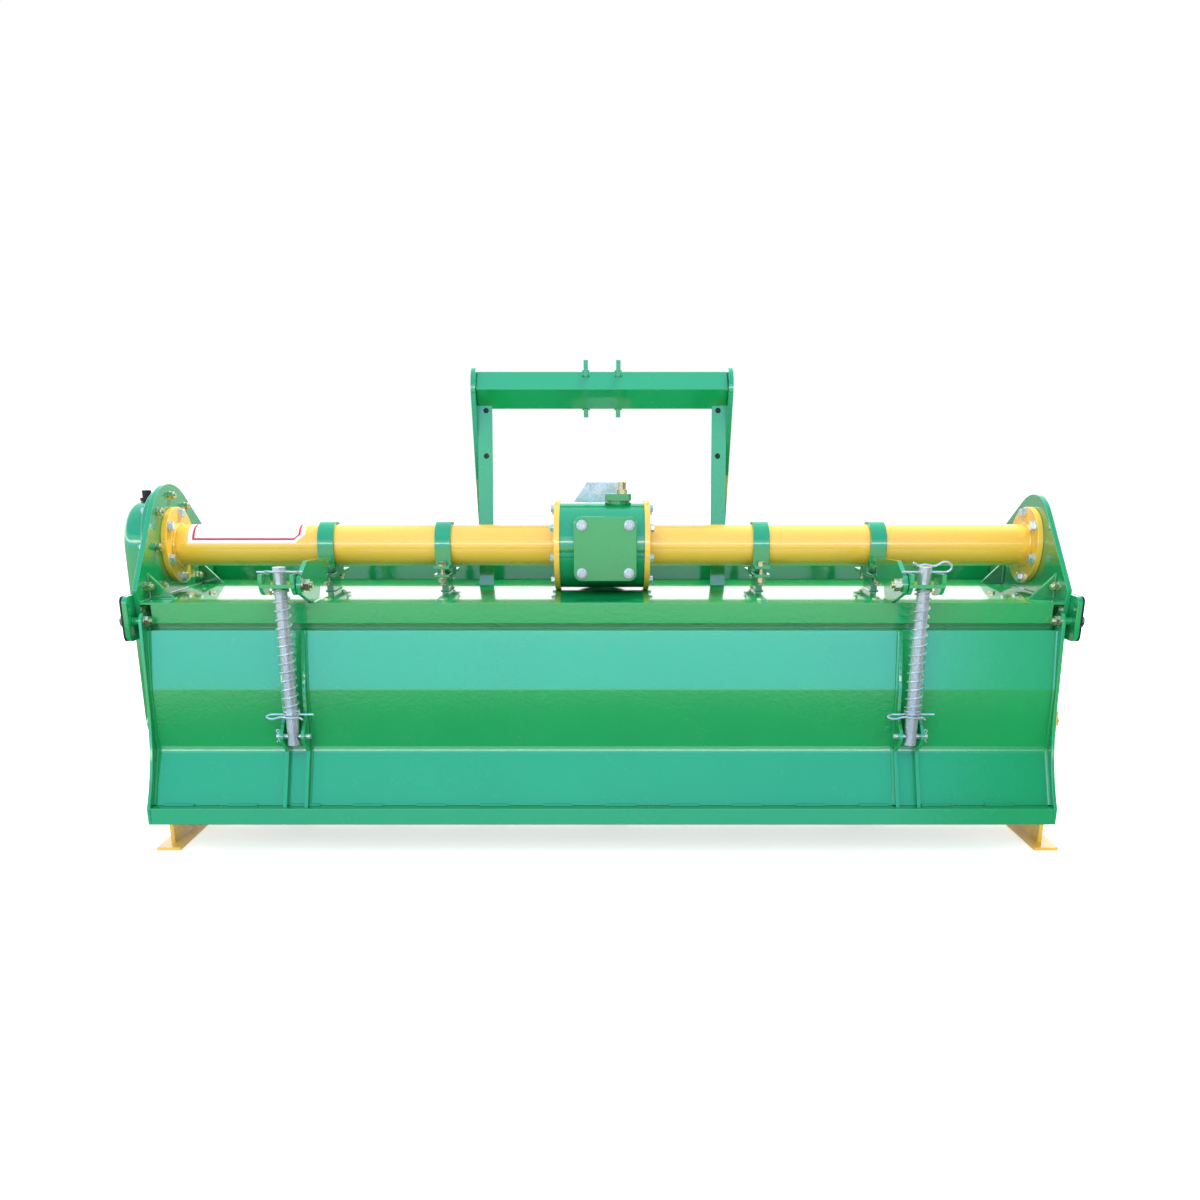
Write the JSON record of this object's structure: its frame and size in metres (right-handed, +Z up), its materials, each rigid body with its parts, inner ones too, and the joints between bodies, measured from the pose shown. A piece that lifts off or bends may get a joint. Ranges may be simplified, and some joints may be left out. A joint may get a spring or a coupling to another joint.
{
  "type": "rotavator",
  "caption": "Mounted rotary tiller with a barrel gearbox on a tube beam, side gear drive, tined rotor, sprung hinged trailing board, skids and a three-point headstock.",
  "frame": {"origin": "on the ground, midway between the skids and straight below the main tube's axis", "axes": "+X to the right as seen from behind, +Y forward to the tractor, +Z up"},
  "size_m": [2.34, 0.74, 1.173],
  "materials": {
    "green_paint": "gloss",
    "yellow_paint": "gloss",
    "bright_zinc": "bright",
    "galvanised_sheet": "satin",
    "dark_steel": "satin",
    "black_plastic": "matte"
  },
  "bodies": {
    "frame": {"main_tube_left": "yellow_paint", "main_tube_right": "yellow_paint", "gearbox_housing": "green_paint", "gearbox_cover": "green_paint", "gearbox_breather": "bright_zinc", "pto_guard": "galvanised_sheet", "deck": "green_paint", "front_curtain": "green_paint", "front_beam": "green_paint", "side_plate_left": "green_paint", "side_plate_right": "green_paint", "drive_case_flange": "green_paint", "drive_case_cover": "green_paint", "drive_case_breather": "black_plastic", "drive_case_guard": "dark_steel", "bearing_housing": "green_paint", "skid_left": "yellow_paint", "skid_right": "yellow_paint", "clamp_straps": "green_paint", "clamp_saddles": "green_paint", "strut_arm_left": "green_paint", "strut_arm_right": "green_paint", "headstock_beam": "green_paint", "headstock_mast_left": "green_paint", "headstock_mast_right": "green_paint", "headstock_brace_left": "green_paint", "headstock_brace_right": "green_paint", "top_link_plates": "green_paint", "lower_hitch_left": "green_paint", "lower_hitch_right": "green_paint", "hinge_cheek_left": "green_paint", "hinge_cheek_right": "green_paint"},
    "rotor": {"rotor_shaft": "green_paint", "rotor_tines": "dark_steel"},
    "input_shaft": {"pto_shaft": "bright_zinc"},
    "board": {"board_sheet": "green_paint", "board_rail": "green_paint", "board_end_left": "green_paint", "board_end_right": "green_paint", "board_ribs": "green_paint", "board_strut_pins": "bright_zinc"},
    "swivel_left": {"strut_swivel_left": "green_paint", "strut_spring_left": "bright_zinc"},
    "swivel_right": {"strut_swivel_right": "green_paint", "strut_spring_right": "bright_zinc"},
    "rod_left": {"strut_rod_left": "bright_zinc"},
    "rod_right": {"strut_rod_right": "bright_zinc"}
  },
  "joints": [
    {"name": "rotor_spin", "type": "hinge", "parent": "frame", "child": "rotor", "pos_m": [0, 0, 0.3], "axis": [-1, 0, 0], "continuous": true},
    {"name": "pto_spin", "type": "hinge", "parent": "frame", "child": "input_shaft", "pos_m": [0, 0.2, 0.72], "axis": [0, 1, 0], "continuous": true},
    {"name": "board_lift", "type": "hinge", "parent": "frame", "child": "board", "pos_m": [0, -0.266, 0.567], "axis": [-1, 0, 0], "range_deg": [0, 35]},
    {"name": "swivel_left_tilt", "type": "hinge", "parent": "frame", "child": "swivel_left", "pos_m": [-0.725, -0.325, 0.657], "axis": [-1, 0, 0], "range_deg": [0, 27]},
    {"name": "rod_left_slide", "type": "slide", "parent": "swivel_left", "child": "rod_left", "axis": [0, 0, 1], "range_m": [0, 0.046], "deforming": ["strut_spring_left"]},
    {"name": "swivel_right_tilt", "type": "hinge", "parent": "frame", "child": "swivel_right", "pos_m": [0.725, -0.325, 0.657], "axis": [-1, 0, 0], "range_deg": [0, 27]},
    {"name": "rod_right_slide", "type": "slide", "parent": "swivel_right", "child": "rod_right", "axis": [0, 0, 1], "range_m": [0, 0.046], "deforming": ["strut_spring_right"]}
  ],
  "couplings": [
    {"joint": "pto_spin", "follows": "rotor_spin", "ratio": 2.6},
    {"joint": "swivel_left_tilt", "follows": "board_lift", "ratio": 0.77},
    {"joint": "rod_left_slide", "follows": "board_lift", "m_per_rad": 0.075},
    {"joint": "swivel_right_tilt", "follows": "board_lift", "ratio": 0.77},
    {"joint": "rod_right_slide", "follows": "board_lift", "m_per_rad": 0.075}
  ]
}
